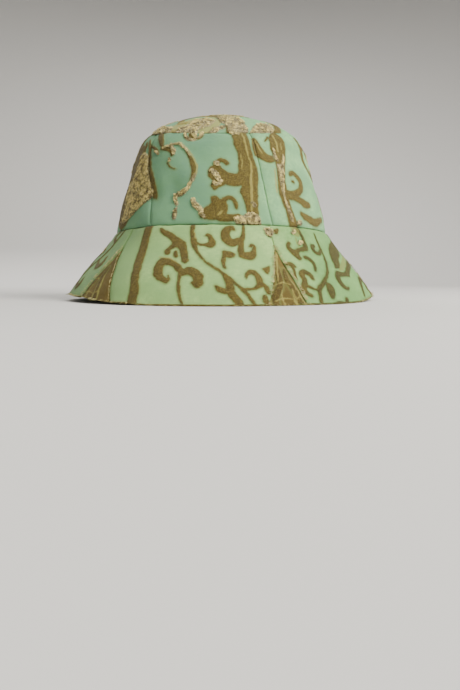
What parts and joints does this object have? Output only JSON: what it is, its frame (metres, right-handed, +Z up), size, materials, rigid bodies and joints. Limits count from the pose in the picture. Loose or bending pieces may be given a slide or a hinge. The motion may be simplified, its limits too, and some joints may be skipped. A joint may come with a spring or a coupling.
{
  "type": "bucket hat",
  "caption": "Soft bucket hat with a domed tip, a panelled crown and a sloping brim let out with triangular godets.",
  "frame": {"origin": "centre of the bounding box in plan, on the surface the brim rests on", "axes": "+Z up through the crown; -Y towards the front of the hat; +X towards the viewer's right when the front is seen"},
  "size_m": [0.278, 0.254, 0.174],
  "materials": {
    "crown_cloth": "matt brocade with a raised velvet scroll pattern",
    "brim_cloth": "matt brocade with a raised velvet scroll pattern",
    "godet_cloth": "matt ochre velvet",
    "facing_cloth": "matt dark brocade"
  },
  "bodies": {
    "root": {"crown_tip": "crown_cloth", "crown_panel_front": "crown_cloth", "crown_panel_front_right": "crown_cloth", "crown_panel_back_right": "crown_cloth", "crown_panel_back": "crown_cloth", "crown_panel_back_left": "crown_cloth", "crown_panel_front_left": "crown_cloth", "brim_panel_front": "brim_cloth", "brim_panel_front_right": "brim_cloth", "brim_panel_back_right": "brim_cloth", "brim_panel_back": "brim_cloth", "brim_panel_back_left": "brim_cloth", "brim_panel_front_left": "brim_cloth", "brim_godet_front_left": "godet_cloth", "brim_godet_front_right": "godet_cloth", "brim_godet_right": "godet_cloth", "brim_godet_back_right": "godet_cloth", "brim_godet_back_left": "godet_cloth", "brim_godet_left": "godet_cloth", "brim_facing_front": "facing_cloth", "brim_facing_front_right": "facing_cloth", "brim_facing_back_right": "facing_cloth", "brim_facing_back": "facing_cloth", "brim_facing_back_left": "facing_cloth", "brim_facing_front_left": "facing_cloth"}
  },
  "joints": []
}
